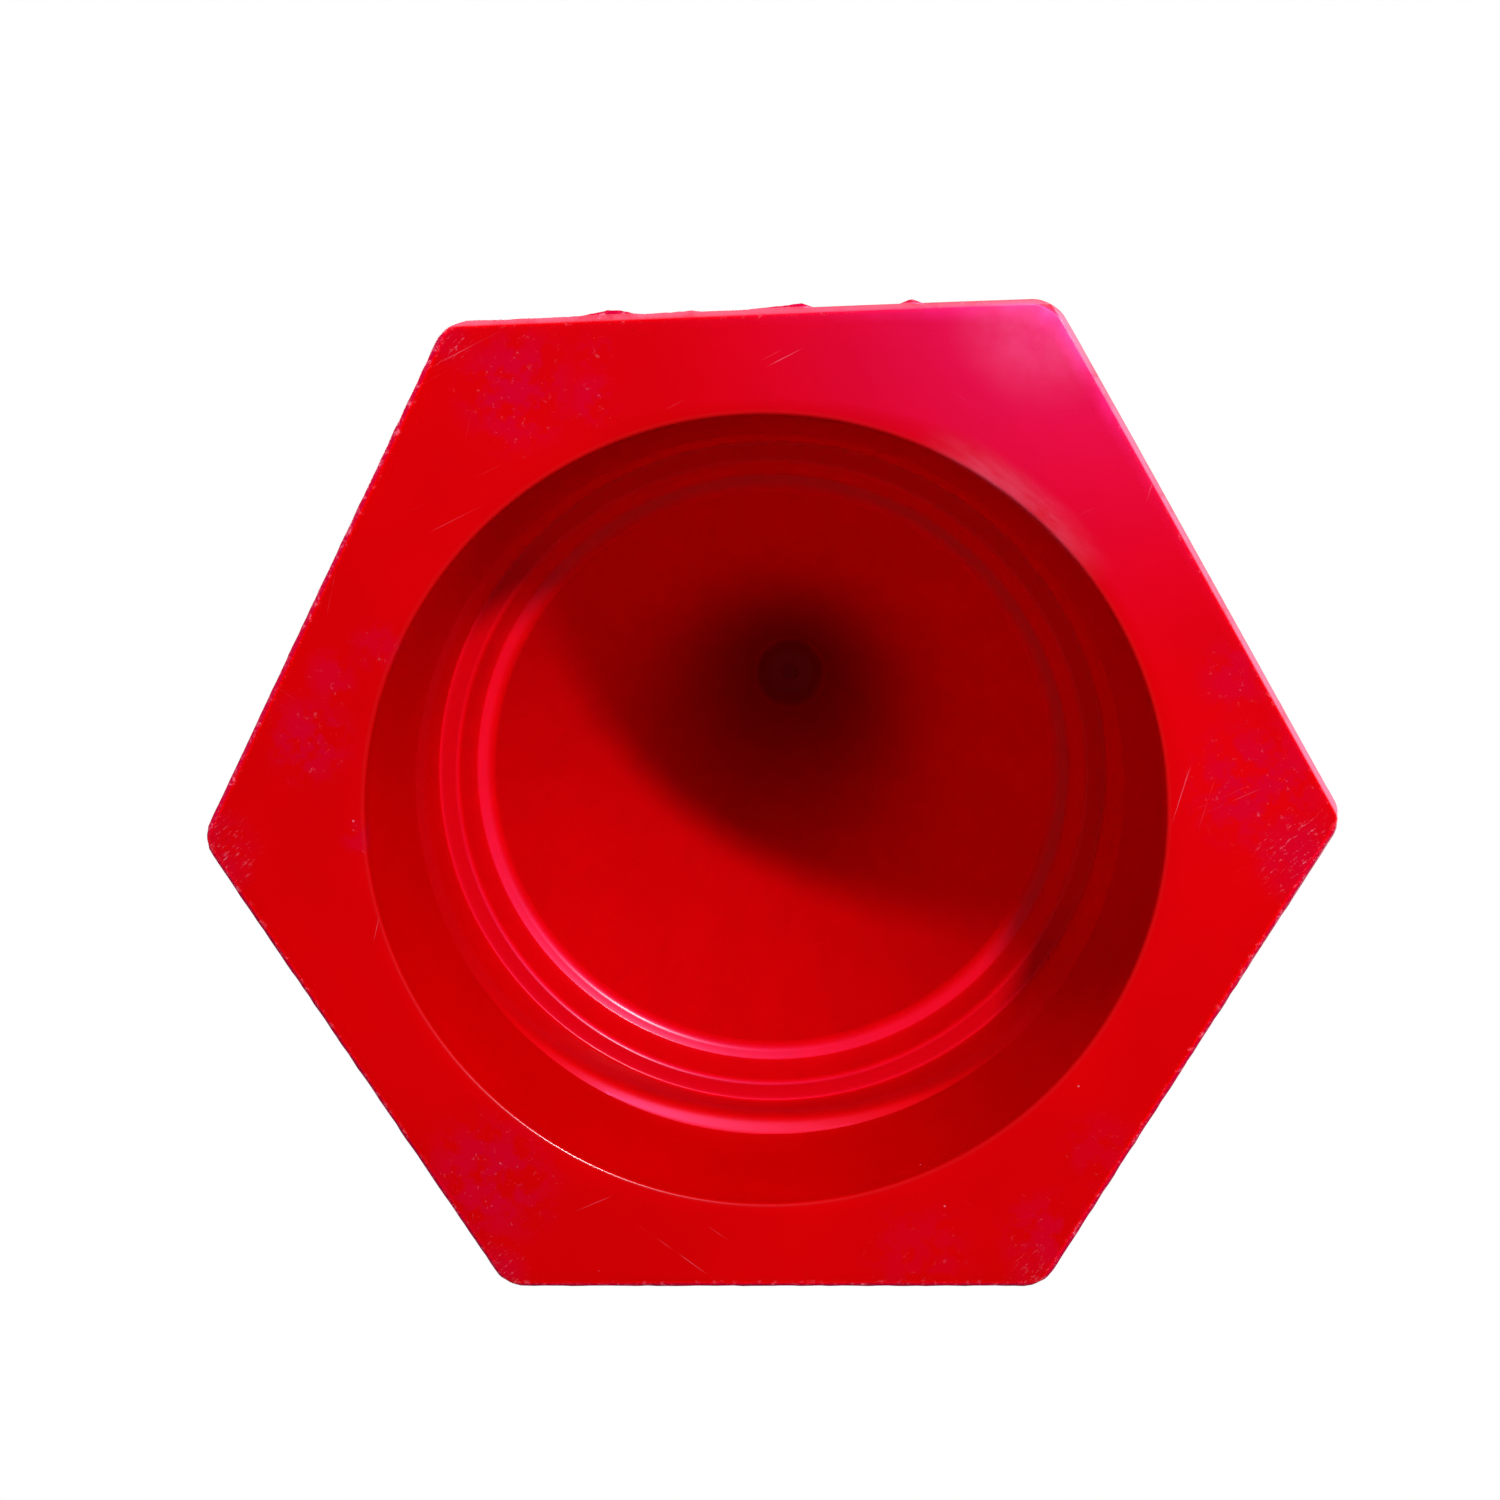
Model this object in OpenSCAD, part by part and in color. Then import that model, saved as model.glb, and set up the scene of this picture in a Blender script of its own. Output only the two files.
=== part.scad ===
// Road traffic cone with a heavy hexagonal base, 500 mm tall, in soft PVC.
// The origin is at the middle of the underside, on the cone's axis, with +Z up.
// Two corners of the hexagon lie on the X axis, and two of its flat sides face +Y and -Y.

/* [Base] */
// Width of the hexagon across its flat sides, at the underside
across_flats = 255; // [240:1:300]
// Radius of the hexagon's upright corners
corner_r = 9; // [4:0.5:20]
// Height at which the two halves of the mould meet, where the side is widest
parting_z = 14; // [8:1:20]
// How far the side stands out at that line, past the underside's edge
parting_out = 1.2; // [0.5:0.1:2]
// Height of the base at its outer edge
edge_z = 28; // [24:1:34]
// Radius of the round opening at the underside
mouth_r = 103; // [101:0.5:106]
// Radius of the opening where the base's wall ends, under the cone's foot
throat_r = 101.7; // [100.5:0.1:102.5]
// Height of the seat that the cone's foot flange lies on
seat_z = 45.5; // [42:0.5:48]
// Height of the raised collar that traps the foot flange
collar_z = 54; // [54:0.5:60]
// Outer radius of the raised collar
collar_r = 118; // [116:0.5:122]

/* [Cone body] */
// Overall height
height = 500; // [400:10:560]
// Thickness of the wall, measured level
wall = 3.6; // [3:0.1:5]
// Radius of the flange round the cone's foot
flange_r = 112; // [109:0.5:113]
// Thickness of that flange
flange_t = 4; // [3:0.5:5]
// Outer radius of the cone at its very top, before it is rounded
top_r = 22; // [18:0.5:28]
// Thickness of the closed top
top_t = 10; // [7:0.5:14]
// Radius of the blind gate recess under the closed top
gate_r = 4.2; // [3:0.1:6]

/* [Stepped rings] */
// Lower step: inner radius below its ledge
step1_low_r = 101.8; // [100.5:0.1:102.5]
// Lower step: inner radius above its ledge
step1_high_r = 95.7; // [95:0.1:97]
// Lower step: height of the ledge's outer edge
step1_z = 73.2; // [70:0.1:75]
// Upper step: inner radius below its ledge
step2_low_r = 93.1; // [91:0.1:94]
// Upper step: inner radius above its ledge
step2_high_r = 88.2; // [87:0.1:90]
// Upper step: height of the ledge's outer edge
step2_z = 87; // [84:0.1:89]
// Lower step: rise of the ledge from its outer to its inner edge
step1_rise = 0.8; // [0.4:0.1:2.5]
// Upper step: rise of the ledge from its outer to its inner edge
step2_rise = 1.4; // [0.4:0.1:2.5]

/* [Reflective sleeves] */
// Lower edge of the lower sleeve
low_sleeve_z = 195; // [170:5:220]
// Height of the lower sleeve
low_sleeve_h = 80; // [60:5:90]
// Lower edge of the upper sleeve
high_sleeve_z = 325; // [315:5:335]
// Height of the upper sleeve
high_sleeve_h = 100; // [80:5:110]
// Thickness of the sleeves
sleeve_t = 0.9; // [0.6:0.1:1.2]
// Depth of the bands sunk into the cone for them
recess_d = 0.7; // [0.4:0.1:1]

/* [Hidden] */
$fn = 128;

corner_fn = 32;
arc_steps = 6;
edge_chamfer = 1.6;
crown_rise = 3.5;
crown_r = collar_r + 2;
crown_fn = 96;
top_edge_in = 3.5;
shoulder_z = edge_z - 4;
shoulder_out = 0.4;
corner_ring = (across_flats / 2 - corner_r) / cos(30);

// The collar spreads at its foot, rises past a rounded shoulder and leans in towards its rim.
collar_skirt = 2;
collar_shoulder = 3;
collar_lean = 2.5;

// Rounding of the mouth's lower edge, and how far the cutting shape runs past the solid.
mouth_round = [0.8, 1.8];
past = 1;

// How far the side stands out, past the underside's edge, at each height of the base.
side_levels = [
    [0, -edge_chamfer],
    [edge_chamfer, 0],
    [parting_z, parting_out],
    [shoulder_z, shoulder_out],
    [edge_z, -top_edge_in],
];

// Height of the flange's upper face, and the outer radius of the cone's foot, whose wall is thinner.
flange_top = seat_z + flange_t;
foot_wall = wall - 0.5;
foot_r = step1_low_r + foot_wall;

// The outer skin follows the inner one, moved out by the wall and up by this much.
skin_rise = 2.6;
cone_low = [step2_high_r + wall, step2_z + step2_rise + skin_rise];
cone_slope = (cone_low.x - top_r) / (height - cone_low.y);
end_z = height - top_t;
gate_depth = top_t / 2;
sleeve_gap = 0.3;

// Outer radius of the straight part of the cone at height z.
function skin_r(z) = cone_low.x - cone_slope * (z - cone_low.y);

function unit(v) = v / norm(v);

function turned(v, a) = [v.x * cos(a) - v.y * sin(a), v.x * sin(a) + v.y * cos(a)];

// Points of an arc of radius r that rounds the corner at b, between a and c.
function corner_arc(a, b, c, r) =
    let (
        u = unit(a - b),
        v = unit(c - b),
        half = acos(u * v) / 2,
        centre = b + unit(u + v) * r / sin(half),
        start = b + u * r / tan(half) - centre,
        way = sign(u.y * v.x - u.x * v.y)
    )
    [for (i = [0:arc_steps]) centre + turned(start, way * (180 - 2 * half) * i / arc_steps)];

// An outline from corners given as [radius, height, rounding]; a rounding of 0 stays sharp.
function outline(corners) =
    let (n = len(corners), at = [for (p = corners) [p.x, p.y]])
    [for (i = [0:n - 1])
        let (r = corners[i].z)
        each (r == 0 ? [at[i]] : corner_arc(at[(i + n - 1) % n], at[i], at[(i + 1) % n], r))
    ];

module turned_solid(corners) {
    rotate_extrude() polygon(outline(corners));
}

// One tapered post at a corner of the hexagon, between two heights.
module corner_post(low, high) {
    translate([corner_ring, 0, low.x])
        cylinder(h = high.x - low.x, r1 = corner_r + low.y, r2 = corner_r + high.y, $fn = corner_fn);
}

module slab() {
    hull() {
        for (level = [0:len(side_levels) - 2], corner = [0:5])
            rotate(60 * corner)
                corner_post(side_levels[level], side_levels[level + 1]);
        translate([0, 0, edge_z])
            cylinder(h = crown_rise, r = crown_r, $fn = crown_fn);
    }
}

module collar() {
    turned_solid([
        [throat_r, parting_z, 0],
        [crown_r, parting_z, 0],
        [crown_r + collar_skirt, edge_z + collar_skirt, 0],
        [collar_r, edge_z + crown_rise + collar_shoulder, collar_shoulder],
        [collar_r - collar_lean, collar_z, collar_lean],
        [foot_r, collar_z, 0],
    ]);
}

// The mouth, the throat above it and the groove that the foot flange is moulded into.
module mouth_and_groove() {
    turned_solid([
        [0, -past, 0],
        [mouth_r + mouth_round[1], -past, 0],
        [mouth_r + mouth_round[0], 0, 0],
        [mouth_r, mouth_round[0], 0],
        [throat_r, seat_z, 0],
        [flange_r, seat_z, 0],
        [flange_r, flange_top, 0],
        [foot_r, flange_top, 0],
        [foot_r, collar_z + past, 0],
        [0, collar_z + past, 0],
    ]);
}

module base() {
    color("crimson")
        difference() {
            union() {
                slab();
                collar();
            }
            mouth_and_groove();
        }
}

// Outer corners of a sunken band between two heights.
function band(z, h) = [
    [skin_r(z), z, 0],
    [skin_r(z) - recess_d, z, 0],
    [skin_r(z + h) - recess_d, z + h, 0],
    [skin_r(z + h), z + h, 0],
];

// The inner skin, from the foot up to the closed top.
inner_skin = [
    [throat_r, seat_z, 0],
    [step1_low_r, step1_z, 0.5],
    [step1_high_r, step1_z + step1_rise, 2],
    [step2_low_r, step2_z, 0.5],
    [step2_high_r, step2_z + step2_rise, 4],
    [skin_r(end_z) - wall, end_z, 5],
    [gate_r, end_z, 0],
    [gate_r, end_z + gate_depth, 0],
    [0, end_z + gate_depth, 0],
];

// The outer skin, from the closed top down to the foot flange.
outer_skin = concat(
    [
        [0, height, 0],
        [top_r, height, 7],
    ],
    [for (i = [3:-1:0]) band(high_sleeve_z, high_sleeve_h)[i]],
    [for (i = [3:-1:0]) band(low_sleeve_z, low_sleeve_h)[i]],
    [
        [cone_low.x, cone_low.y, 5],
        [step2_low_r + wall, step2_z + skin_rise, 3],
        [step1_high_r + wall, step1_z + step1_rise + skin_rise, 3],
        [foot_r, step1_z + skin_rise, 3],
        [foot_r, flange_top, 0],
        [flange_r, flange_top, 0],
        [flange_r, seat_z, 0],
    ]
);

module cone_body() {
    color("red")
        turned_solid(concat(inner_skin, outer_skin));
}

// A sleeve of reflective sheeting in its sunken band.
module sleeve(z, h) {
    low = z + sleeve_gap;
    high = z + h - sleeve_gap;
    turned_solid([
        [skin_r(low) - recess_d, low, 0],
        [skin_r(low) - recess_d + sleeve_t, low, 0],
        [skin_r(high) - recess_d + sleeve_t, high, 0],
        [skin_r(high) - recess_d, high, 0],
    ]);
}

module lower_sleeve() {
    color("white") sleeve(low_sleeve_z, low_sleeve_h);
}

module upper_sleeve() {
    color("white") sleeve(high_sleeve_z, high_sleeve_h);
}

base();
cone_body();
lower_sleeve();
upper_sleeve();
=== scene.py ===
import math
import random

import bmesh
import bpy
from mathutils import Matrix, Vector


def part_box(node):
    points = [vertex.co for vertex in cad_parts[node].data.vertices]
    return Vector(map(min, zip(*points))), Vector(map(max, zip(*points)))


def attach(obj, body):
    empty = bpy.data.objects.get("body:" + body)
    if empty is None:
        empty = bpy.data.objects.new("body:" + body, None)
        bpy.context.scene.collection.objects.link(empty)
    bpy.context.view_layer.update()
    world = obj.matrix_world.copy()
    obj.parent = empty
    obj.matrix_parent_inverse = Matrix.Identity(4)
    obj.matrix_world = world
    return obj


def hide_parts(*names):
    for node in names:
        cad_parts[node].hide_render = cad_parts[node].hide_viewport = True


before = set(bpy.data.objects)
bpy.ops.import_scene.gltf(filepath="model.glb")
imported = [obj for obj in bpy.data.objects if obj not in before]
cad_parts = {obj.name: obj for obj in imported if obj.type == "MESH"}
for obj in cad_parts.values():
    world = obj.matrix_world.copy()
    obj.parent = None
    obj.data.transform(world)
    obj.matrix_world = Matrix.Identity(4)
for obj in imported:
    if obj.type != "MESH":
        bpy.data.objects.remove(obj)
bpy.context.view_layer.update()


# ---------------------------------------------------------------- camera
# The cone is seen from underneath, a little off its axis, by a moderate wide-angle lens. The camera
# stands 371 mm below the underside and looks up into the mouth.

mm = 0.001

camera_place = Vector((15.1, -70.7, -371.0)) * mm
camera_aim = Vector((-7.2, 1.7, 0.0)) * mm
camera_roll = math.radians(-1.7)

camera_data = bpy.data.cameras.new("camera")
camera_data.lens = 35.3
camera_data.sensor_width = 36.0
camera_data.shift_x = 0.012
camera_data.shift_y = 0.058
camera_data.clip_start = 0.01
camera_data.clip_end = 50
camera = bpy.data.objects.new("camera", camera_data)
bpy.context.scene.collection.objects.link(camera)
forward = (camera_aim - camera_place).normalized()
right = forward.cross(Vector((0, -1, 0))).normalized()
up = right.cross(forward)
look = Matrix((right, up, -forward)).transposed()
camera.matrix_world = (
    Matrix.Translation(camera_place)
    @ look.to_4x4()
    @ Matrix.Rotation(camera_roll, 4, "Z")
)
bpy.context.scene.camera = camera
bpy.context.scene.view_settings.view_transform = "Standard"


# ---------------------------------------------------------------- base
# The heavy foot, moulded in solid soft PVC. Its hexagonal slab has round upright corners, a mould
# line half way up its side, and a collar that holds the flange of the cone. The mouth goes right
# through it, and its wall leans in a little so that the foot slides off the core of the mould.

half_flats = 127.5 * mm
hexagon_reach = half_flats / math.cos(math.radians(30))
upright_corner = 9 * mm
slab_edge = 28 * mm
mould_line = 14 * mm
mould_line_out = 0.9 * mm
bottom_edge_round = 1.6 * mm
top_edge_round = 3.6 * mm
shortest_side = 20 * mm
base_round = 360
arc_in_corner = 8
cuts_in_side = base_round // 6 - arc_in_corner - 1

mouth_radius = 103 * mm
throat_radius = 101.7 * mm
seat_height = 45.5 * mm
flange_radius = 112 * mm
flange_top = 49.5 * mm
foot_radius = 104.9 * mm
collar_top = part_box("base")[1].z
collar_rim = 115.5 * mm
collar_shoulder = [118.4 * mm, 34.5 * mm]
collar_foot = [120 * mm, 31.5 * mm]
mouth_round = 0.8 * mm
collar_rim_round = 2.2 * mm
foot_round = 0.6 * mm
shoulder_round = 1.5 * mm

slab_levels = [
    [half_flats, 0],
    [half_flats + mould_line_out, mould_line - 0.5 * mm],
    [half_flats + mould_line_out + 0.2 * mm, mould_line],
    [half_flats + mould_line_out, mould_line + 0.5 * mm],
    [half_flats + 0.4 * mm, slab_edge],
]
mouth_levels = [
    [mouth_radius, 0],
    [throat_radius, seat_height],
    [flange_radius, seat_height],
    [flange_radius, flange_top],
    [foot_radius, flange_top],
    [foot_radius, collar_top],
    [collar_rim, collar_top],
    collar_shoulder,
    collar_foot,
]


def begin_piece():
    """Leaves edit mode with nothing selected, ready for a new primitive."""
    if bpy.context.object and bpy.context.object.mode == "EDIT":
        bpy.ops.object.mode_set(mode="OBJECT")
    bpy.ops.object.select_all(action="DESELECT")
    bpy.context.view_layer.objects.active = None


def start_ring(radius, height, vertices):
    """A ring drawn round the axis, all selected, in the mesh that is being edited or a new one."""
    bpy.ops.mesh.primitive_circle_add(vertices=vertices, radius=radius, location=(0, 0, height))


def pull_ring(corners):
    """Extrudes the selected ring from each [radius, height] to the next."""
    for (r0, z0), (r1, z1) in zip(corners, corners[1:]):
        bpy.ops.mesh.extrude_edges_move(TRANSFORM_OT_translate={"value": (0, 0, z1 - z0)})
        bpy.ops.transform.resize(value=(r1 / r0, r1 / r0, 1), center_override=(0, 0, z1))


def pick_edges(test):
    """Selects the edges whose two ends both pass the test, and nothing else."""
    mesh = bmesh.from_edit_mesh(bpy.context.object.data)
    for part in (*mesh.verts, *mesh.edges, *mesh.faces):
        part.select = False
    for edge in mesh.edges:
        if all(test(v.co) for v in edge.verts):
            edge.select_set(True)
    bmesh.update_edit_mesh(bpy.context.object.data)


def on_ring(radius, height, slack=0.02 * mm):
    """A test for points on the ring of that radius and height."""
    return lambda p: abs(p.xy.length - radius) < slack and abs(p.z - height) < slack


def round_ring(radius, height, size, segments):
    """Bevels a sharp ring into a round one. size is how far the round reaches along each face."""
    pick_edges(on_ring(radius, height))
    bpy.ops.mesh.bevel(offset=size, segments=segments, affect="EDGES", clamp_overlap=False)


def finish_piece(name, smooth_angle=35):
    """Merges doubles, turns the faces outwards, smooths the soft edges and puts the origin at 0."""
    bpy.ops.mesh.select_all(action="SELECT")
    bpy.ops.mesh.remove_doubles(threshold=0.002 * mm)
    bpy.ops.mesh.normals_make_consistent(inside=False)
    bpy.ops.object.mode_set(mode="OBJECT")
    bpy.ops.object.transform_apply(location=True, rotation=True, scale=True)
    bpy.ops.object.shade_smooth_by_angle(angle=math.radians(smooth_angle))
    piece = bpy.context.object
    piece.name = name
    piece.data.name = name
    return piece


def flats_reach(p):
    """How far a point lies from the axis, measured square to the hexagon's nearest side."""
    slant = math.cos(math.radians(30))
    return max(abs(p.y), abs(p.x * slant + p.y / 2), abs(p.x * slant - p.y / 2))


def hexagon_level(height, slack=0.02 * mm):
    """A test for points of the slab's side at that height."""
    return lambda p: abs(p.z - height) < slack and flats_reach(p) > half_flats - 2 * mm


begin_piece()
bpy.ops.mesh.primitive_circle_add(
    vertices=6, radius=hexagon_reach, location=(0, 0, 0), rotation=(0, 0, math.radians(30))
)
bpy.ops.object.transform_apply(rotation=True)
bpy.ops.object.mode_set(mode="EDIT")
bpy.ops.mesh.select_all(action="SELECT")
bpy.ops.mesh.bevel(
    offset=upright_corner / math.tan(math.radians(60)),
    segments=arc_in_corner,
    affect="VERTICES",
)
slab_mesh = bmesh.from_edit_mesh(bpy.context.object.data)
for edge in slab_mesh.edges:
    edge.select = edge.calc_length() > shortest_side
bmesh.update_edit_mesh(bpy.context.object.data)
bpy.ops.mesh.subdivide(number_cuts=cuts_in_side)
bpy.ops.mesh.select_all(action="DESELECT")
start_ring(mouth_radius, seat_height, base_round)
pick_edges(lambda p: True)
bpy.ops.mesh.bridge_edge_loops(number_cuts=5, interpolation="LINEAR")
bpy.ops.mesh.select_all(action="SELECT")
bpy.ops.transform.resize(value=(1, 1, 0), center_override=(0, 0, 0))
pick_edges(hexagon_level(0))
pull_ring(slab_levels)
pick_edges(on_ring(mouth_radius, 0))
pull_ring(mouth_levels)
pick_edges(lambda p: hexagon_level(slab_edge)(p) or on_ring(*collar_foot)(p))
bpy.ops.mesh.bridge_edge_loops()
bpy.ops.mesh.select_all(action="SELECT")
bpy.ops.mesh.normals_make_consistent(inside=False)
pick_edges(hexagon_level(0))
bpy.ops.mesh.bevel(offset=bottom_edge_round, segments=4, affect="EDGES", clamp_overlap=False)
pick_edges(hexagon_level(slab_edge))
bpy.ops.mesh.bevel(offset=top_edge_round, segments=5, affect="EDGES", clamp_overlap=False)
round_ring(mouth_radius, 0, mouth_round, 3)
round_ring(collar_rim, collar_top, collar_rim_round, 5)
round_ring(foot_radius, collar_top, foot_round, 2)
round_ring(*collar_shoulder, shoulder_round, 3)

# The lower edge is nicked and worn where it drags on the road.
nick_depth = 0.09 * mm
nick_low, nick_high = 0.1 * mm, 1.5 * mm
pick_edges(lambda p: nick_low < p.z < nick_high and flats_reach(p) > half_flats - nick_high)
bpy.ops.transform.vertex_random(offset=nick_depth, uniform=0, normal=1, seed=7)

# One corner of the soft slab has curled up a little, away from the road.
curl_corner = Vector((hexagon_reach * 0.5, -half_flats))
curl_width = 46 * mm
curl_lift = 1.1 * mm
for point in bmesh.from_edit_mesh(bpy.context.object.data).verts:
    near = max(0, 1 - (point.co.xy - curl_corner).length / curl_width)
    if point.co.z < slab_edge:
        point.co.z += curl_lift * near * near
    point.co.z = max(point.co.z, 0)
bmesh.update_edit_mesh(bpy.context.object.data)
base = finish_piece("moulded_base")

# A thin flash is left along one side of the lower edge, where the core plate closes. It stands out
# past the edge only in a few low swells.
flash_from, flash_to = -52 * mm, 46 * mm
flash_height = 0.7 * mm
flash_width = 2 * mm
flash_sheet = 0.25 * mm
flash_steps = 96
flash_hidden = 1.3 * mm
flash_swell = 3.2 * mm
flash_bare_below = 0.4
flash_out = 1.1 * mm
chance = random.Random(11)
swells = [0, *[chance.random() for _ in range(14)], 0]
begin_piece()
bpy.ops.mesh.primitive_grid_add(
    x_subdivisions=flash_steps,
    y_subdivisions=1,
    size=1,
    location=((flash_from + flash_to) / 2, -half_flats, flash_height),
)
bpy.ops.object.mode_set(mode="EDIT")
bpy.ops.mesh.select_all(action="SELECT")
bpy.ops.transform.resize(value=(flash_to - flash_from, flash_width, 1))
flash_mesh = bmesh.from_edit_mesh(bpy.context.object.data)
for point in flash_mesh.verts:
    if point.co.y < 0:
        share = (point.co.x / (flash_to - flash_from) + 0.5) * (len(swells) - 1)
        first = min(int(share), len(swells) - 2)
        swell = swells[first] + (swells[first + 1] - swells[first]) * (share - first)
        point.co.y += flash_hidden - max(0, swell - flash_bare_below) * flash_swell
        point.co.y = max(point.co.y, -flash_out) + chance.uniform(0, 0.12) * mm
        point.co.z += chance.uniform(-0.3, 0.1) * mm
bmesh.update_edit_mesh(bpy.context.object.data)
flash = finish_piece("edge_flash")
thick = flash.modifiers.new("thickness", "SOLIDIFY")
thick.thickness = flash_sheet
bpy.ops.object.modifier_apply(modifier="thickness")
base.select_set(True)
bpy.context.view_layer.objects.active = base
bpy.ops.object.join()

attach(base, "root")
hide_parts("base")


def start_material(name, rough, tint=(1, 1, 1)):
    """A new material, its node tree and its shader. tint colours the broad shine."""
    material = bpy.data.materials.new(name)
    material.use_nodes = True
    tree = material.node_tree
    shader = tree.nodes["Principled BSDF"]
    shader.inputs["IOR"].default_value = 1.45
    shader.inputs["Specular Tint"].default_value = (*tint, 1)
    shader.inputs["Roughness"].default_value = rough
    return material, tree, shader


def plug(tree, value, socket):
    """Links an output to a socket, or writes a plain value on it."""
    if isinstance(value, bpy.types.NodeSocket):
        tree.links.new(value, socket)
    else:
        socket.default_value = value


def add(tree, kind, sockets, **settings):
    """Adds a shader node with its settings, and plugs each of its sockets."""
    made = tree.nodes.new("ShaderNode" + kind)
    for key, value in settings.items():
        setattr(made, key, value)
    for key, value in sockets.items():
        plug(tree, value, made.inputs[key])
    return made


def calc(tree, operation, *values):
    """One step of arithmetic on outputs and plain numbers."""
    return add(tree, "Math", dict(enumerate(values)), operation=operation).outputs[0]


def overlap(tree, *masks):
    """Masks multiplied together, so that only what they share is left."""
    total = masks[0]
    for mask in masks[1:]:
        total = calc(tree, "MULTIPLY", total, mask)
    return total


def sum_of(tree, *masks):
    """Masks laid over each other. The strongest one counts."""
    total = masks[0]
    for mask in masks[1:]:
        total = calc(tree, "MAXIMUM", total, mask)
    return total


def fade(tree, value, low, high):
    """A soft step: 0 where value is at low, 1 where it is at high."""
    sockets = {"Value": value, "From Min": low, "From Max": high}
    return add(tree, "MapRange", sockets, interpolation_type="SMOOTHSTEP").outputs[0]


def noise(tree, place, scale, detail=4, rough=0.55, twist=0):
    """Cloudy noise from 0 to 1. scale is in lumps per metre."""
    sockets = {
        "Vector": place,
        "Scale": scale,
        "Detail": detail,
        "Roughness": rough,
        "Distortion": twist,
    }
    return add(tree, "TexNoise", sockets).outputs["Fac"]


def stretch(tree, place, scale, turn=0):
    """The place turned about the axis and then drawn out, for streaks and scratches."""
    turned = add(tree, "Mapping", {"Vector": place, "Rotation": (0, 0, math.radians(turn))})
    return add(tree, "Mapping", {"Vector": turned.outputs[0], "Scale": scale}).outputs[0]


def blend_colour(tree, amount, under, over):
    """The colour under, covered by the colour over as far as amount says."""
    made = add(tree, "Mix", {}, data_type="RGBA")
    colours = [socket for socket in made.inputs if socket.type == "RGBA"]
    plug(tree, amount, made.inputs[0])
    plug(tree, under, colours[0])
    plug(tree, over, colours[1])
    return next(socket for socket in made.outputs if socket.type == "RGBA")


def specks(tree, place, per_metre, size, rare):
    """Small round specks. Only the share 1 - rare of the cells has one."""
    sockets = {"Vector": place, "Scale": per_metre}
    cells = add(tree, "TexVoronoi", sockets)
    chosen = add(tree, "SeparateColor", {"Color": cells.outputs["Color"]}).outputs[0]
    dot = fade(tree, cells.outputs["Distance"], size, size * 0.5)
    return overlap(tree, dot, calc(tree, "GREATER_THAN", chosen, rare))


def scratches(tree, place, turn, fine, cut):
    """Fine straight scratches in one direction. A higher cut leaves fewer."""
    drawn = stretch(tree, place, (14, fine, 14), turn)
    return fade(tree, noise(tree, drawn, 1, 2, 0.5, 0.15), cut, cut + 0.05)


def bump(tree, shader, *layers):
    """Raises the surface by layers of [height, depth in metres]."""
    normal = None
    for height, depth in layers:
        made = add(tree, "Bump", {"Height": height, "Distance": depth, "Strength": 1})
        if normal:
            tree.links.new(normal, made.inputs["Normal"])
        normal = made.outputs[0]
    tree.links.new(normal, shader.inputs["Normal"])


# Red soft PVC with a broad crimson shine and a thin clear one on its edges. It is stained crimson
# where it has been rubbed, with fine pale grit marks, and whitened where edges and corners drag.
# The pale line along the lower edge of the two sides that face the lamp is a painted highlight, the
# darker crimson on the rest of that edge is painted shade, and the pale pink haze at one corner and
# along that side of the mouth's rim is a painted reflection of the lamp's glare. Each spot in these
# lists is [x, y, reach, strength], in mm on the underside: crimson stains, pale haze painted over
# the glare, the same painted glare haze kept to the mouth's rim, chafed corners, and the corner
# that is buffed shiny.
foot_red = (0.81, 0.0, 0.0, 1)
foot_deep_red = (0.72, 0.0, 0.0, 1)
stain_crimson = (0.70, 0.0, 0.024, 1)
edge_shade_crimson = (0.46, 0.0, 0.045, 1)
glare_haze_pink = (0.86, 0.10, 0.19, 1)
wear_and_highlight_white = (0.92, 0.30, 0.46, 1)
road_grey = (0.30, 0.20, 0.19, 1)
crimson_shine = (1, 0.05, 0.8)
base_rough, dull_rough = 0.38, 0.5
slab_shine, buffed_shine = 0.12, 0.5
slab_coat, edge_coat = 0.02, 0.95
stains = [
    [-57, -111, 19, 1.0],
    [-38, -108, 8, 0.9],
    [-37, -119, 6, 0.8],
    [-96, -49, 9, 0.6],
    [-116, -26, 15, 0.9],
    [-109, -42, 9, 0.7],
    [-105, 0, 6, 0.6],
    [125, -9, 22, 0.9],
    [119, -37, 12, 0.7],
    [133, 8, 12, 0.7],
    [-76, 96, 24, 0.9],
    [88, 88, 14, 0.4],
    [40, 118, 20, 0.4],
    [74, 112, 16, 0.7],
]
# Painted reflection: these pale haze spots lie where the lamp's glare falls on the underside and
# along the mouth's rim.
glare_hazes = [[72, -125, 26, 0.5]]
rim_glare_hazes = [[69, -85, 32, 0.6]]
chafes = [
    [137, 9, 15, 0.85],
    [-143, 3, 14, 0.85],
    [-76, 123, 11, 0.8],
    [-74, -123, 8, 0.6],
    [72, 124, 10, 0.6],
]
buffed = [[72, -127, 100, 1.0]]

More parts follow.
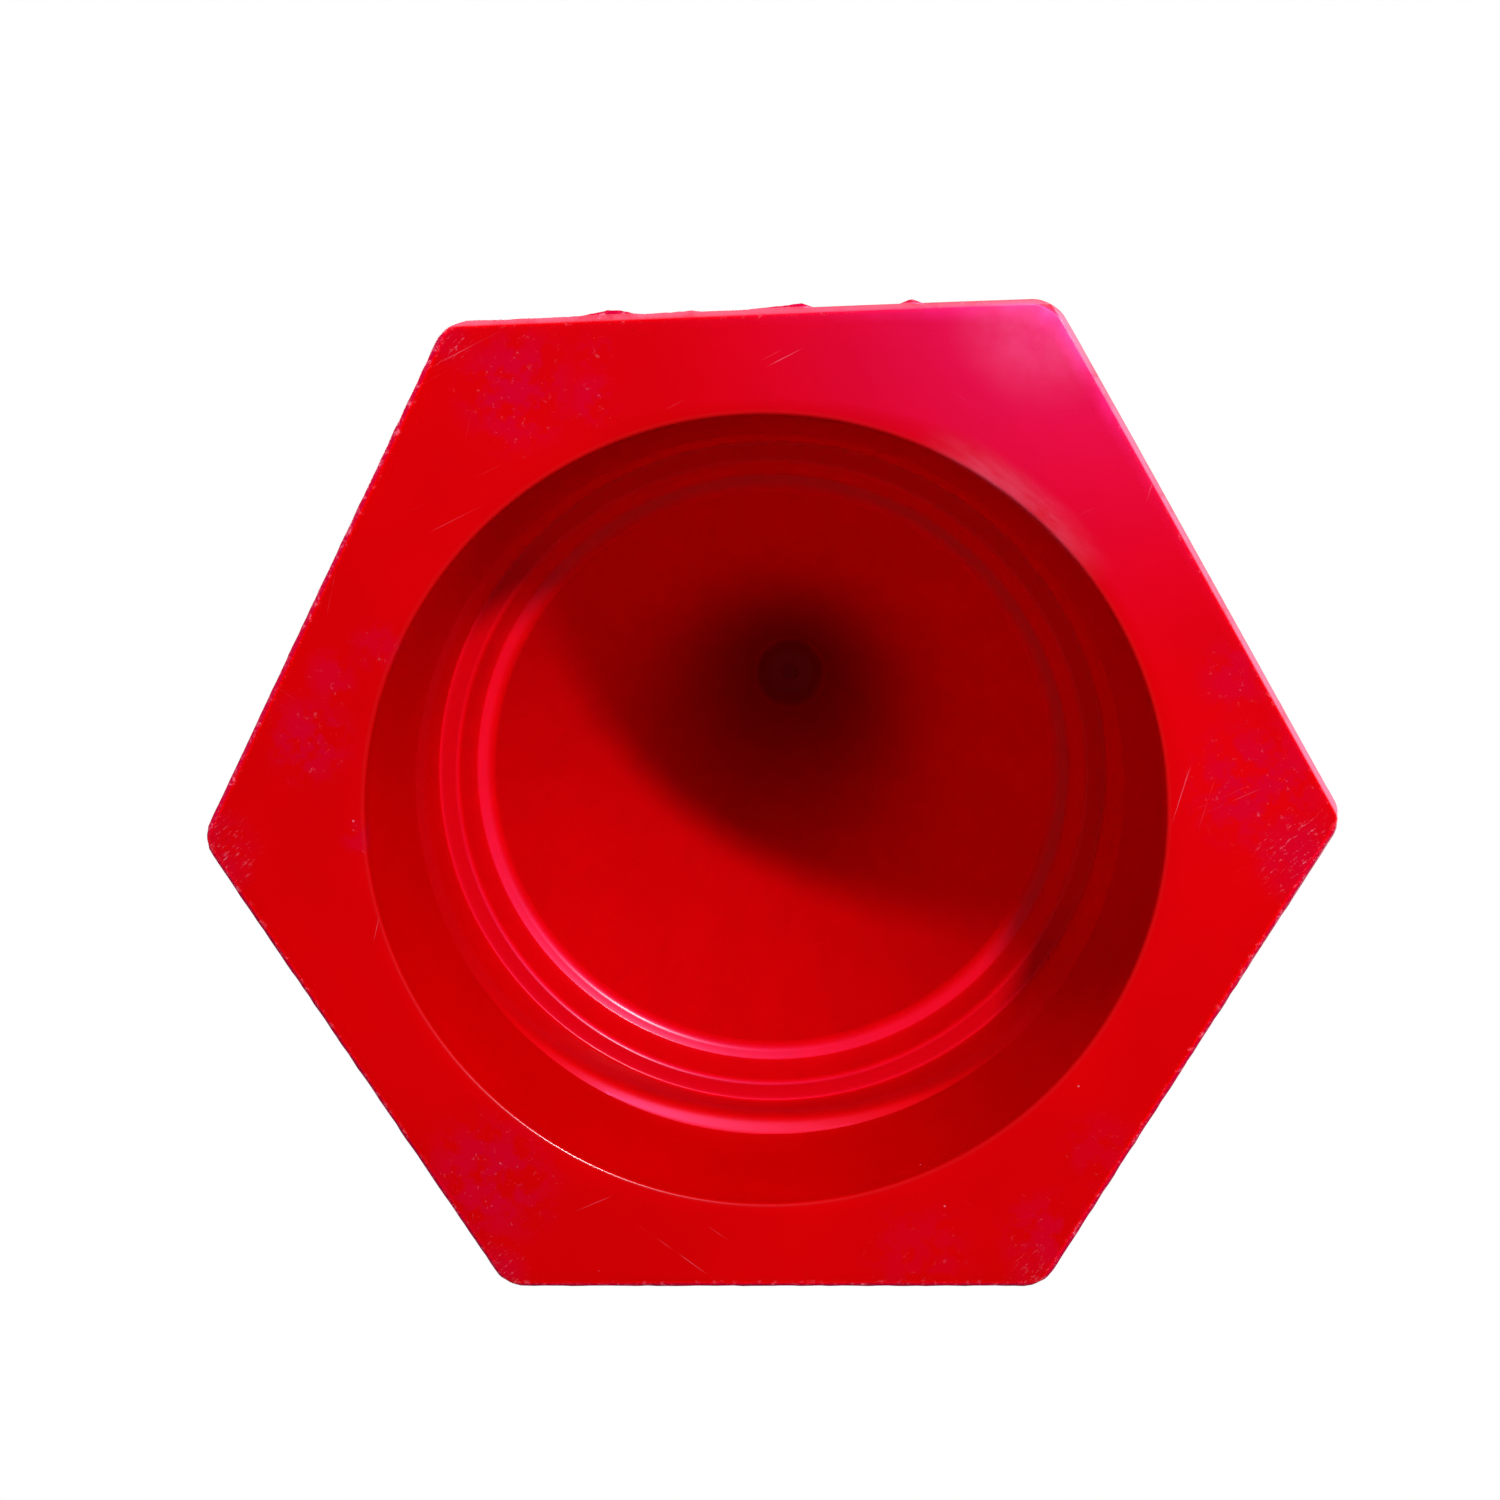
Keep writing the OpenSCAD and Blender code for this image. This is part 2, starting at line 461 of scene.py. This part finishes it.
base_pvc, tree, shader = start_material("base_pvc_worn", base_rough, crimson_shine)
shader.inputs["Specular IOR Level"].default_value = 0.2
shader.inputs["Coat Roughness"].default_value = 0.22
place = add(tree, "TexCoord", {}).outputs["Object"]
axes = add(tree, "SeparateXYZ", {"Vector": place})
x, y, z = axes.outputs[0], axes.outputs[1], axes.outputs[2]
flat_place = add(tree, "CombineXYZ", {"X": x, "Y": y}).outputs[0]
slant = math.cos(math.radians(30))
half_y = calc(tree, "MULTIPLY", y, 0.5)
along = calc(tree, "MULTIPLY", x, slant)
side_one = calc(tree, "ABSOLUTE", calc(tree, "ADD", along, half_y))
side_two = calc(tree, "ABSOLUTE", calc(tree, "SUBTRACT", along, half_y))
reach = sum_of(tree, calc(tree, "ABSOLUTE", y), side_one, side_two)
radius = add(tree, "VectorMath", {0: flat_place}, operation="LENGTH").outputs["Value"]
below = fade(tree, z, 6 * mm, 1 * mm)


def spots(places):
    """Soft round spots on the underside, laid over each other."""
    total = 0.0
    for spot_x, spot_y, spot_reach, strength in places:
        centre = (spot_x * mm, spot_y * mm, 0)
        away = add(tree, "VectorMath", {0: flat_place, 1: centre}, operation="DISTANCE")
        spot = fade(tree, away.outputs["Value"], spot_reach * mm, spot_reach * 0.25 * mm)
        total = calc(tree, "MAXIMUM", total, overlap(tree, spot, strength))
    return overlap(tree, total, below)


grit = noise(tree, place, 420, 8, 0.78)
blotch = noise(tree, place, 90, 6, 0.62)
cloud = noise(tree, place, 14, 3)
low_edge = overlap(
    tree,
    fade(tree, reach, half_flats - 1.6 * mm, half_flats - 1.1 * mm),
    fade(tree, z, 2.6 * mm, 1.4 * mm),
)
# Painted highlight: a pale line along the lower edge of the two sides that face the lamp. The rest
# of that edge gets painted shade in a darker crimson.
lamp_facing_sides = sum_of(
    tree,
    fade(tree, calc(tree, "SUBTRACT", along, half_y), half_flats - 3 * mm, half_flats - 2 * mm),
    overlap(tree, fade(tree, y, 3 * mm - half_flats, 2 * mm - half_flats), 0.45),
)
lamp_facing_sides = overlap(tree, lamp_facing_sides, fade(tree, blotch, 0.2, 0.5))
past_edge = fade(tree, reach, half_flats + 0.05 * mm, half_flats + 0.2 * mm)
painted_edge_highlight = overlap(tree, low_edge, lamp_facing_sides)
painted_edge_highlight = overlap(tree, painted_edge_highlight, calc(tree, "SUBTRACT", 1, past_edge))
painted_edge_shade = calc(tree, "SUBTRACT", low_edge, painted_edge_highlight)
edge_drag = overlap(
    tree,
    fade(tree, reach, half_flats - 2.6 * mm, half_flats - 0.2 * mm),
    fade(tree, grit, 0.54, 0.66),
)
chafed = noise(tree, stretch(tree, place, (330, 1150, 330), 40), 1, 6, 0.74)
corner_drag = overlap(tree, spots(chafes), fade(tree, chafed, 0.57, 0.68))
corner_haze = overlap(tree, spots(chafes), fade(tree, blotch, 0.3, 0.6))
edge_flecks = overlap(tree, low_edge, fade(tree, grit, 0.52, 0.62))
patchy = noise(tree, place, 130, 8, 0.66)
stained = overlap(tree, spots(stains), fade(tree, patchy, 0.42, 0.56))
pitted = overlap(tree, spots(stains), fade(tree, grit, 0.59, 0.68))
wiped = noise(tree, stretch(tree, place, (50, 240, 50), -39), 1, 6, 0.65)
near_rim = fade(tree, radius, mouth_radius + 8 * mm, mouth_radius + 1 * mm)
near_rim = overlap(tree, near_rim, fade(tree, wiped, 0.2, 0.7))
clouded_glare = overlap(tree, spots(glare_hazes), fade(tree, blotch, 0.05, 0.7))
painted_glare_haze = sum_of(tree, clouded_glare, overlap(tree, spots(rim_glare_hazes), near_rim))
scored = sum_of(
    tree,
    scratches(tree, place, 24, 1500, 0.715),
    scratches(tree, place, -38, 1900, 0.73),
    scratches(tree, place, 74, 1300, 0.73),
)
scored = overlap(
    tree,
    scored,
    fade(tree, noise(tree, place, 34, 3), 0.5, 0.62),
    fade(tree, radius, mouth_radius, mouth_radius + 2 * mm),
)
dots = specks(tree, place, 170, 0.06, 0.94)
wear_and_edge_highlight = sum_of(
    tree,
    painted_edge_highlight,
    edge_drag,
    corner_drag,
    overlap(tree, edge_flecks, 0.6),
    overlap(tree, scored, 0.5),
    overlap(tree, pitted, 0.45),
)
dusty_top = overlap(
    tree,
    fade(tree, z, slab_edge - 4 * mm, slab_edge),
    fade(tree, cloud, 0.3, 0.75),
    fade(tree, grit, 0.3, 0.7),
    fade(tree, radius, foot_radius, flange_radius),
)

colour = blend_colour(tree, fade(tree, cloud, 0.3, 0.7), foot_deep_red, foot_red)
stained = sum_of(tree, stained, corner_haze)
colour = blend_colour(tree, overlap(tree, stained, 0.8), colour, stain_crimson)
# Painted shade: the lower edge away from the lamp is darkened to crimson.
colour = blend_colour(tree, overlap(tree, painted_edge_shade, 0.8), colour, edge_shade_crimson)
# Painted reflection: pale pink where the lamp's glare lies.
colour = blend_colour(tree, painted_glare_haze, colour, glare_haze_pink)
colour = blend_colour(tree, overlap(tree, dusty_top, 0.4), colour, road_grey)
# Real wear whitens edges and corners here, together with the painted highlight along the lower
# edge.
colour = blend_colour(tree, overlap(tree, wear_and_edge_highlight, 0.75), colour, wear_and_highlight_white)
colour = blend_colour(tree, overlap(tree, dots, 0.6), colour, wear_and_highlight_white)
plug(tree, colour, shader.inputs["Base Color"])
dulled = sum_of(tree, overlap(tree, stained, 0.4), wear_and_edge_highlight, dusty_top)
sockets = {"Value": dulled, "To Min": base_rough, "To Max": dull_rough}
plug(tree, add(tree, "MapRange", sockets).outputs[0], shader.inputs["Roughness"])
shine = calc(tree, "MULTIPLY_ADD", spots(buffed), buffed_shine, slab_shine)
plug(tree, shine, shader.inputs["Specular IOR Level"])
rim = fade(tree, radius, mouth_radius + 1.4 * mm, mouth_radius + 0.7 * mm)
coated = sum_of(tree, overlap(tree, rim, below), overlap(tree, painted_edge_highlight, 0.5))
coated = calc(tree, "MULTIPLY_ADD", coated, edge_coat, slab_coat)
plug(tree, coated, shader.inputs["Coat Weight"])
bump(
    tree,
    shader,
    [noise(tree, place, 900, 2), 0.010 * mm],
    [noise(tree, place, 45, 3), 0.08 * mm],
    [wear_and_edge_highlight, 0.015 * mm],
)
base.data.materials.clear()
base.data.materials.append(base_pvc)


# ---------------------------------------------------------------- cone body
# The cone itself, one thin-walled moulding of soft PVC. Its foot flange sits in the base's collar.
# Inside the foot are two stepped ledges. The top is closed, with the small blind mark that the
# mould's gate left in its inside.

cone_round = 192
wall = 3.6 * mm
step1_low, step1_high, step1_height, step1_rise = 101.8 * mm, 95.7 * mm, 73.2 * mm, 0.8 * mm
step2_low, step2_high, step2_height, step2_rise = 93.1 * mm, 88.2 * mm, 87 * mm, 1.4 * mm
skin_rise = 2.6 * mm
top_radius = 22 * mm
top_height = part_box("cone_body")[1].z
inner_end = top_height - 10 * mm
gate_radius = 4.2 * mm
gate_depth = 5 * mm
top_dimple, top_dimple_foot = 6 * mm, 5.4 * mm
top_dimple_depth = 0.7 * mm
pole = 0.4 * mm
cone_start = [step2_high + wall, step2_height + step2_rise + skin_rise]
cone_slope = (cone_start[0] - top_radius) / (top_height - cone_start[1])
lower_band = [195 * mm, 275 * mm]
upper_band = [325 * mm, 425 * mm]
band_depth = 0.7 * mm

# The soft lip of the foot has slumped inwards over part of its round. Each pair is the rise above
# the lip and the share of the slump there.
slump_profile = [
    [0.5 * mm, 0.22],
    [1.0 * mm, 0.44],
    [1.5 * mm, 0.64],
    [2.1 * mm, 0.82],
    [3.2 * mm, 0.95],
    [5.5 * mm, 1.0],
    [8 * mm, 0.94],
    [11 * mm, 0.78],
    [15 * mm, 0.52],
    [20 * mm, 0.24],
    [25 * mm, 0.05],
]
slump_depth = 4.5 * mm
slump_middle = math.radians(97)
slump_reach = math.radians(54)


def skin_radius(height):
    """Outer radius of the cone's straight part."""
    return cone_start[0] - cone_slope * (height - cone_start[1])


inner_skin = [
    [flange_radius, seat_height],
    [throat_radius, seat_height],
    *[[throat_radius, seat_height + rise] for rise, share in slump_profile],
    [step1_low, step1_height],
    [step1_high, step1_height + step1_rise],
    [step2_low, step2_height],
    [step2_high, step2_height + step2_rise],
    [skin_radius(inner_end) - wall, inner_end],
    [gate_radius, inner_end],
    [gate_radius, inner_end + gate_depth],
    [pole, inner_end + gate_depth],
]
outer_skin = [
    [flange_radius, seat_height],
    [flange_radius, flange_top],
    [foot_radius, flange_top],
    [foot_radius, step1_height + skin_rise],
    [step1_high + wall, step1_height + step1_rise + skin_rise],
    [step2_low + wall, step2_height + skin_rise],
    cone_start,
    *[
        [skin_radius(height) - depth, height]
        for low, high in (lower_band, upper_band)
        for height, depth in ((low, 0), (low, band_depth), (high, band_depth), (high, 0))
    ],
    [top_radius, top_height],
    [top_dimple, top_height],
    [top_dimple_foot, top_height - top_dimple_depth],
    [pole, top_height - top_dimple_depth],
]


def close_pole():
    """Draws the last small ring together on the axis."""
    bpy.ops.mesh.merge(type="CENTER")


begin_piece()
start_ring(*inner_skin[0], cone_round)
bpy.ops.object.transform_apply(location=True)
bpy.ops.object.mode_set(mode="EDIT")
bpy.ops.mesh.select_all(action="SELECT")
pull_ring(inner_skin)
close_pole()
pick_edges(on_ring(*outer_skin[0]))
pull_ring(outer_skin)
close_pole()
for radius, height, size, segments in (
    (step1_low, step1_height, 0.45 * mm, 3),
    (step1_high, step1_height + step1_rise, 1.7 * mm, 6),
    (step2_low, step2_height, 0.45 * mm, 3),
    (step2_high, step2_height + step2_rise, 2.7 * mm, 8),
    (skin_radius(inner_end) - wall, inner_end, 9 * mm, 9),
    (gate_radius, inner_end, 0.8 * mm, 3),
    (foot_radius, step1_height + skin_rise, 1.2 * mm, 4),
    (step1_high + wall, step1_height + step1_rise + skin_rise, 1.2 * mm, 4),
    (step2_low + wall, step2_height + skin_rise, 1.2 * mm, 4),
    (*cone_start, 1.8 * mm, 5),
    (top_radius, top_height, 6 * mm, 8),
):
    round_ring(radius, height, size, segments)

for point in bmesh.from_edit_mesh(bpy.context.object.data).verts:
    rise = point.co.z - seat_height
    share = next((share for level, share in slump_profile if abs(rise - level) < 0.05 * mm), 0)
    away = (math.atan2(point.co.y, point.co.x) - slump_middle) / slump_reach
    if share and abs(away) < 1 and point.co.xy.length < throat_radius + 0.1 * mm:
        inward = slump_depth * share * (1 - away * away) ** 2
        point.co.xy *= 1 - inward / point.co.xy.length
bmesh.update_edit_mesh(bpy.context.object.data)
cone_body = finish_piece("cone_moulding")

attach(cone_body, "root")
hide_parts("cone_body")

# Red soft PVC, smoother than the base. Faint flow streaks run up from the foot, a few specks of
# grit stick to it, and the outside is scuffed near the foot and round the top. Inside, the ledges
# are duller than their edges, the lower ledge is painted darker on the side that the lamp lights,
# which is painted shade, the inside of the tip is darkened with painted shade, the shine is held
# back on the wall that the lamp doesn't reach, and a faint painted red glow stands for light
# through the thin wall, with a stronger painted glow on the ledges near the foot that face down.
cone_red = (0.84, 0.0, 0.0, 1)
cone_deep_red = (0.79, 0.0, 0.0, 1)
ledge_shade_red = (0.60, 0.0, 0.0, 1)
tip_shade = (0.32, 0.0, 0.0, 1)
scuff_pink = (0.70, 0.14, 0.19, 1)
pale_shine = (1, 0.32, 1.0, 1)
cone_rough, scuff_rough = 0.45, 0.62
skin_shine, skin_coat = 0.5, 0.3
lip_end = 58 * mm
lit_wall_x, lit_wall_y = -0.6, 0.8
thin_wall_from, thin_wall_to = 120 * mm, 320 * mm
foot_glow, thin_wall_glow, ledge_glow = 0.009, 0.008, 0.035

cone_pvc, tree, shader = start_material("cone_pvc_smooth", cone_rough, crimson_shine)
shader.inputs["Specular IOR Level"].default_value = skin_shine
shader.inputs["Coat Weight"].default_value = skin_coat
shader.inputs["Coat Roughness"].default_value = 0.24
shader.inputs["Emission Color"].default_value = (1, 0, 0, 1)
place = add(tree, "TexCoord", {}).outputs["Object"]
axes = add(tree, "SeparateXYZ", {"Vector": place})
z = axes.outputs[2]
flat_place = add(tree, "CombineXYZ", {"X": axes.outputs[0], "Y": axes.outputs[1]}).outputs[0]
radius = add(tree, "VectorMath", {0: flat_place}, operation="LENGTH").outputs["Value"]
skin_here = calc(tree, "MULTIPLY_ADD", z, -cone_slope, cone_start[0] + cone_slope * cone_start[1])
outside = fade(tree, calc(tree, "SUBTRACT", radius, skin_here), -2.2 * mm, -1.2 * mm)
outside = overlap(tree, outside, fade(tree, z, 92 * mm, 97 * mm))
normal = add(tree, "NewGeometry", {}).outputs["Normal"]
normal_up = add(tree, "SeparateXYZ", {"Vector": normal}).outputs[2]
normal_out = add(tree, "VectorMath", {0: normal, 1: flat_place}, operation="DOT_PRODUCT")
normal_out = calc(tree, "DIVIDE", normal_out.outputs["Value"], radius)
inside = fade(tree, calc(tree, "MULTIPLY_ADD", normal_up, 0.6, normal_out), 0.2, -0.2)
streaks = noise(tree, stretch(tree, place, (60, 60, 5)), 1, 3)
dots = specks(tree, place, 140, 0.05, 0.975)
low_rub = fade(tree, z, 150 * mm, 96 * mm)
high_rub = fade(tree, z, 430 * mm, 495 * mm)
rubbed = noise(tree, stretch(tree, place, (320, 320, 90)), 1, 6, 0.7)
rubs = overlap(tree, sum_of(tree, low_rub, high_rub), fade(tree, rubbed, 0.5, 0.72))
scored = sum_of(
    tree,
    fade(tree, noise(tree, stretch(tree, place, (90, 90, 1300)), 1, 2), 0.72, 0.77),
    fade(tree, noise(tree, stretch(tree, place, (500, 500, 40)), 1, 2), 0.73, 0.78),
)
scored = overlap(tree, scored, fade(tree, noise(tree, place, 22, 3), 0.52, 0.64))
scuffs = overlap(tree, sum_of(tree, rubs, scored), outside)
# Painted shade: the inside of the closed tip is darkened.
in_tip = overlap(
    tree,
    fade(tree, z, inner_end - 6 * mm, inner_end - 1 * mm),
    fade(tree, z, top_height - 3.5 * mm, top_height - 4.5 * mm),
    inside,
)
on_ledge = overlap(
    tree,
    fade(tree, z, step1_height - 0.1 * mm, step1_height + 0.2 * mm),
    fade(tree, z, step1_height + 1 * mm, step1_height + 0.65 * mm),
    inside,
)
lit_side = calc(tree, "MULTIPLY", axes.outputs[0], lit_wall_x)
lit_side = calc(tree, "MULTIPLY_ADD", axes.outputs[1], lit_wall_y, lit_side)
lit_side = fade(tree, lit_side, -30 * mm, 5 * mm)
colour = blend_colour(tree, fade(tree, streaks, 0.3, 0.7), cone_deep_red, cone_red)
colour = blend_colour(tree, in_tip, colour, tip_shade)
# Painted shade: the lower ledge is darker on the side that the lamp lights.
colour = blend_colour(tree, overlap(tree, on_ledge, lit_side), colour, ledge_shade_red)
colour = blend_colour(tree, overlap(tree, scuffs, 0.42), colour, scuff_pink)
colour = blend_colour(tree, overlap(tree, dots, 0.5), colour, wear_and_highlight_white)
plug(tree, colour, shader.inputs["Base Color"])
from_edge = fade(tree, z, step1_height - 0.9 * mm, step1_height - 0.4 * mm)
up_to_edge = calc(tree, "SUBTRACT", 1, from_edge)
behind_lip = overlap(tree, fade(tree, z, lip_end - 4 * mm, lip_end + 1 * mm), up_to_edge)
dulled = sum_of(tree, on_ledge, behind_lip)
shine = calc(tree, "MULTIPLY_ADD", dulled, -0.5, 0.65)
shine = overlap(tree, shine, calc(tree, "MULTIPLY_ADD", lit_side, 0.85, 0.15))
shine = overlap(tree, calc(tree, "SUBTRACT", shine, skin_shine), inside)
plug(tree, calc(tree, "ADD", shine, skin_shine), shader.inputs["Specular IOR Level"])
lip = overlap(tree, fade(tree, z, lip_end, lip_end - 5 * mm), inside)
tint = blend_colour(tree, lip, (*crimson_shine, 1), pale_shine)
plug(tree, tint, shader.inputs["Specular Tint"])
coated = overlap(tree, from_edge, calc(tree, "MULTIPLY_ADD", on_ledge, -0.9, 1))
coated = calc(tree, "MULTIPLY_ADD", coated, 0.5, -skin_coat)
coated = calc(tree, "MULTIPLY_ADD", coated, inside, skin_coat)
plug(tree, coated, shader.inputs["Coat Weight"])
# Painted light: a faint red glow on the inside, stronger up the thin wall, and a stronger glow
# still on the ledges near the foot that face down.
facing_down = fade(tree, normal_up, -0.5, -0.9)
facing_down = overlap(tree, facing_down, fade(tree, z, 110 * mm, 100 * mm))
glow = fade(tree, z, thin_wall_from, thin_wall_to)
glow = calc(tree, "MULTIPLY_ADD", glow, thin_wall_glow, foot_glow)
glow = calc(tree, "MULTIPLY_ADD", facing_down, ledge_glow, glow)
plug(tree, overlap(tree, glow, inside), shader.inputs["Emission Strength"])
sockets = {"Value": sum_of(tree, scuffs, dots), "To Min": cone_rough, "To Max": scuff_rough}
plug(tree, add(tree, "MapRange", sockets).outputs[0], shader.inputs["Roughness"])
bump(
    tree,
    shader,
    [noise(tree, place, 750, 2), 0.006 * mm],
    [noise(tree, place, 24, 2), 0.22 * mm],
    [scuffs, 0.03 * mm],
)
cone_body.data.materials.clear()
cone_body.data.materials.append(cone_pvc)


# ---------------------------------------------------------------- reflective sleeves
# Two bands of white retroreflective sheeting, glued into shallow bands sunk into the cone. Each is
# one strip wrapped round, and its end laps over its start in a seam down the back.

sheet = 0.9 * mm
sheet_gap = 0.3 * mm
lap_thickness = 0.3 * mm
lap_from, lap_to = math.radians(82), math.radians(90)
lap_inset = 1 * mm
sheet_edge_round = 0.25 * mm
weld_pitch_up = 7.2 * mm
weld_count = 96

sheet_white = (0.80, 0.81, 0.82, 1)
sheet_grey = (0.60, 0.62, 0.64, 1)
weld_grey = (0.50, 0.52, 0.54, 1)
tyre_black = (0.10, 0.09, 0.09, 1)

sheeting, tree, shader = start_material("sleeve_sheeting", 0.34)
shader.inputs["Coat Weight"].default_value = 0.35
shader.inputs["Coat Roughness"].default_value = 0.18
place = add(tree, "TexCoord", {}).outputs["Object"]
axes = add(tree, "SeparateXYZ", {"Vector": place})
turn = calc(tree, "ARCTAN2", axes.outputs[1], axes.outputs[0])
around = calc(tree, "MULTIPLY", turn, weld_count / math.tau)
upward = calc(tree, "DIVIDE", axes.outputs[2], weld_pitch_up)
weld_lines = sum_of(
    tree,
    fade(tree, calc(tree, "PINGPONG", calc(tree, "ADD", around, upward), 0.5), 0.07, 0.035),
    fade(tree, calc(tree, "PINGPONG", calc(tree, "SUBTRACT", around, upward), 0.5), 0.07, 0.035),
)
beads = add(tree, "TexVoronoi", {"Vector": place, "Scale": 1600}).outputs["Distance"]
handled = fade(tree, noise(tree, place, 26, 5, 0.6), 0.45, 0.75)
marks = fade(tree, noise(tree, stretch(tree, place, (30, 30, 700)), 1, 3), 0.70, 0.78)
marks = overlap(tree, marks, fade(tree, noise(tree, place, 18, 2), 0.5, 0.66))
colour = blend_colour(tree, fade(tree, beads, 0.2, 0.7), sheet_white, sheet_grey)
colour = blend_colour(tree, overlap(tree, weld_lines, 0.75), colour, weld_grey)
colour = blend_colour(tree, overlap(tree, handled, 0.3), colour, road_grey)
colour = blend_colour(tree, overlap(tree, marks, 0.6), colour, tyre_black)
plug(tree, colour, shader.inputs["Base Color"])
sockets = {"Value": sum_of(tree, handled, marks), "To Min": 0.3, "To Max": 0.5}
plug(tree, add(tree, "MapRange", sockets).outputs[0], shader.inputs["Roughness"])
bump(tree, shader, [weld_lines, -0.10 * mm], [beads, 0.012 * mm])


def on_lap(face, low, high):
    """Whether an outer face of the sleeve lies in the part that laps over."""
    middle = face.calc_center_median()
    turn = math.atan2(middle.y, middle.x)
    outer = face.normal.xy.length > 0.9 and face.normal.dot(middle) > 0
    return outer and lap_from < turn < lap_to and low < middle.z < high


for name, band in (("lower_sleeve", lower_band), ("upper_sleeve", upper_band)):
    low, high = band[0] + sheet_gap, band[1] - sheet_gap
    back = [[skin_radius(height) - band_depth, height] for height in (low, high)]
    front = [[radius + sheet, height] for radius, height in back]
    begin_piece()
    start_ring(*back[0], cone_round)
    bpy.ops.object.transform_apply(location=True)
    bpy.ops.object.mode_set(mode="EDIT")
    bpy.ops.mesh.select_all(action="SELECT")
    pull_ring([back[0], front[0], front[1], back[1], back[0]])
    bpy.ops.mesh.select_all(action="SELECT")
    bpy.ops.mesh.remove_doubles(threshold=0.01 * mm)
    bpy.ops.mesh.normals_make_consistent(inside=False)
    round_ring(*front[0], sheet_edge_round, 2)
    round_ring(*front[1], sheet_edge_round, 2)
    bpy.ops.mesh.select_all(action="DESELECT")
    bpy.ops.mesh.select_mode(type="FACE")
    sleeve_mesh = bmesh.from_edit_mesh(bpy.context.object.data)
    for face in sleeve_mesh.faces:
        if on_lap(face, low + lap_inset, high - lap_inset):
            face.select_set(True)
    bmesh.update_edit_mesh(bpy.context.object.data)
    bpy.ops.mesh.extrude_region_shrink_fatten(TRANSFORM_OT_shrink_fatten={"value": lap_thickness})
    bpy.ops.mesh.select_mode(type="VERT")
    sleeve = finish_piece(name + "_sheet")
    sleeve.data.materials.append(sheeting)
    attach(sleeve, "root")
    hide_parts(name)


# ---------------------------------------------------------------- floor
# A plain pale floor, just under the base. It has a hole under the base and lets light from below
# pass close round it. It shows only from above, and far off it fades to white.

floor_reach = 6
floor_drop = 0.25 * mm
hole_inset = 2 * mm
clear_round_base = 170 * mm
hole_side_cuts = 31
far_glow = [0.8, 3.6]

begin_piece()
bpy.ops.mesh.primitive_circle_add(
    vertices=6 * (hole_side_cuts + 1), radius=floor_reach, location=(0, 0, -floor_drop)
)
bpy.ops.object.transform_apply(location=True)
bpy.ops.object.mode_set(mode="EDIT")
bpy.ops.mesh.select_all(action="DESELECT")
bpy.ops.mesh.primitive_circle_add(
    vertices=6,
    radius=hexagon_reach - hole_inset,
    location=(0, 0, -floor_drop),
    rotation=(0, 0, math.radians(30)),
)
bpy.ops.mesh.subdivide(number_cuts=hole_side_cuts)
bpy.ops.mesh.select_all(action="SELECT")
bpy.ops.mesh.bridge_edge_loops()
bpy.ops.mesh.select_all(action="SELECT")
bpy.ops.mesh.normals_make_consistent(inside=False)
bpy.ops.object.mode_set(mode="OBJECT")
floor = bpy.context.object
floor.name = "floor"
if floor.data.polygons[0].normal.z < 0:
    floor.data.flip_normals()

floor_paint, tree, shader = start_material("pale_floor", 0.75)
shader.inputs["Base Color"].default_value = (0.78, 0.78, 0.77, 1)
place = add(tree, "TexCoord", {}).outputs["Object"]
radius = add(tree, "VectorMath", {0: place}, operation="LENGTH").outputs["Value"]
near = calc(tree, "LESS_THAN", radius, clear_round_base)
shader.inputs["Emission Color"].default_value = (1, 1, 1, 1)
plug(tree, fade(tree, radius, *far_glow), shader.inputs["Emission Strength"])
shadow = add(tree, "LightPath", {}).outputs["Is Shadow Ray"]
from_below = add(tree, "NewGeometry", {}).outputs["Backfacing"]
clear_here = sum_of(tree, from_below, overlap(tree, near, shadow))
clear = add(tree, "BsdfTransparent", {})
mix = add(tree, "MixShader", {0: clear_here, 1: shader.outputs[0], 2: clear.outputs[0]})
tree.links.new(mix.outputs[0], tree.nodes["Material Output"].inputs["Surface"])
floor.data.materials.append(floor_paint)


# ---------------------------------------------------------------- light
# One soft lamp shines up into the mouth from the side, and broad panels light the outside from
# above. The white surroundings are bright to look at, dim as a light and dimmer in reflections,
# which only holds while they aren't sampled as a lamp.

seen_white, lit_white, mirrored_white = 1.0, 0.15, 0.015


def softbox(name, toward, distance, size, power):
    """A round lamp at a distance from the cone, in the direction toward, facing the cone."""
    data = bpy.data.lights.new(name, "AREA")
    data.shape = "DISK"
    data.size = size
    data.energy = power
    lamp = bpy.data.objects.new(name, data)
    bpy.context.scene.collection.objects.link(lamp)
    toward = Vector(toward).normalized()
    lamp.location = Vector((0, 0, 0.1)) + toward * distance
    lamp.rotation_mode = "QUATERNION"
    lamp.rotation_quaternion = toward.to_track_quat("Z", "Y")
    lamp.visible_camera = False


softbox("key_from_below", (0.325, -0.431, -0.842), 2.0, 0.22, 33)
softbox("top_panel", (-0.5, -0.6, 1.0), 2.2, 1.6, 45)
softbox("side_panel", (1.0, 0.3, 0.5), 2.4, 1.2, 20)

world = bpy.data.worlds.new("studio")
bpy.context.scene.world = world
world.use_nodes = True
world.cycles.sampling_method = "NONE"
tree = world.node_tree
tree.nodes.clear()
seen = add(tree, "Background", {"Color": (1, 1, 1, 1), "Strength": seen_white})
lit = add(tree, "Background", {"Color": (1, 1, 1, 1), "Strength": lit_white})
mirrored = add(tree, "Background", {"Color": (1, 1, 1, 1), "Strength": mirrored_white})
path = add(tree, "LightPath", {}).outputs
mix = add(tree, "MixShader", {0: path["Is Glossy Ray"], 1: lit.outputs[0], 2: mirrored.outputs[0]})
mix = add(tree, "MixShader", {0: path["Is Camera Ray"], 1: mix.outputs[0], 2: seen.outputs[0]})
tree.links.new(mix.outputs[0], add(tree, "OutputWorld", {}).inputs["Surface"])
